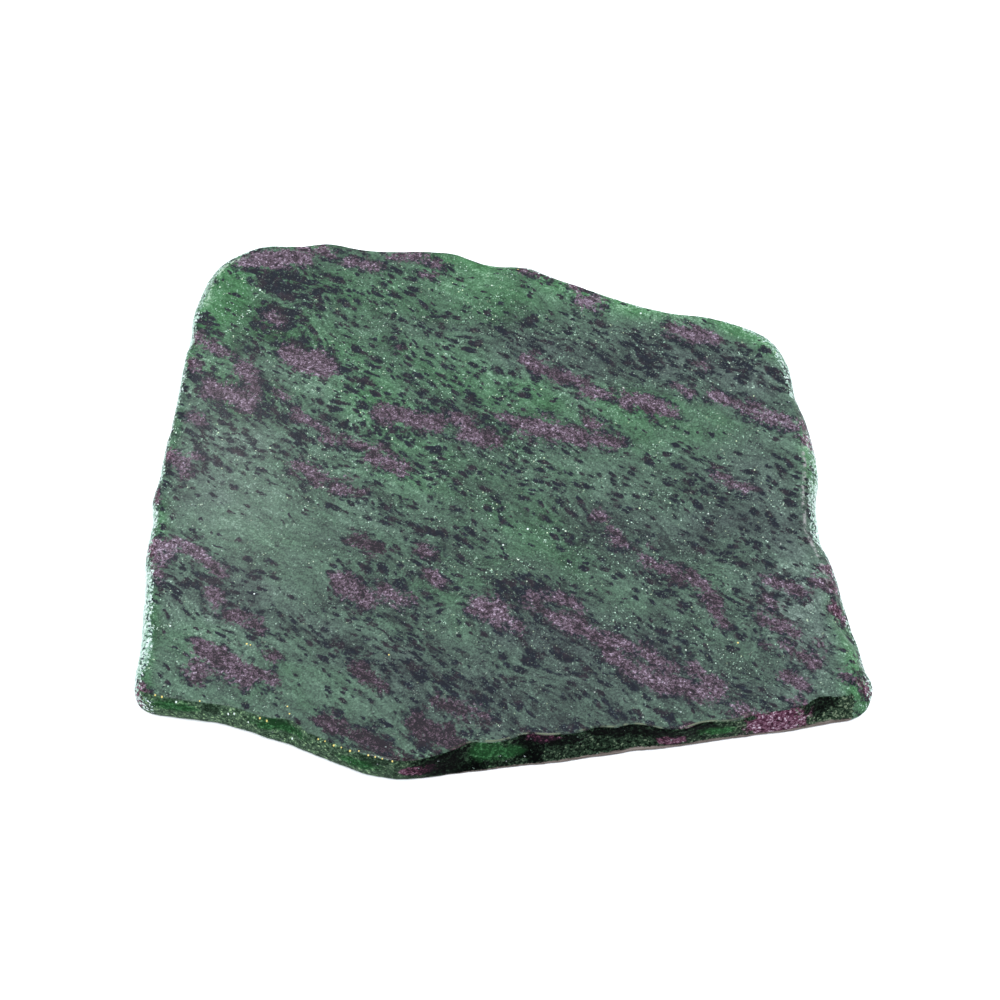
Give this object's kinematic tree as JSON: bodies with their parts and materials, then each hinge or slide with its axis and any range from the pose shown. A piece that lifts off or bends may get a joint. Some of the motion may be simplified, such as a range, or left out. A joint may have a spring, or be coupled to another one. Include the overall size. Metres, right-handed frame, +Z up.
{
  "type": "ruby in zoisite slab",
  "caption": "Flat polished slab of green ruby in zoisite with rounded, chipped edges, lying on its underside.",
  "frame": {"origin": "middle of the underside's bounding box, on the surface the slab lies on", "axes": "+X along the slab's long side, +Y from the front edge to the back edge, +Z up through its thickness"},
  "size_m": [0.1194, 0.1045, 0.006],
  "materials": {
    "zoisite": "satin polish on sawn stone, green with black flakes and dull red patches"
  },
  "bodies": {
    "root": {"zoisite_slab": "zoisite"}
  },
  "joints": []
}
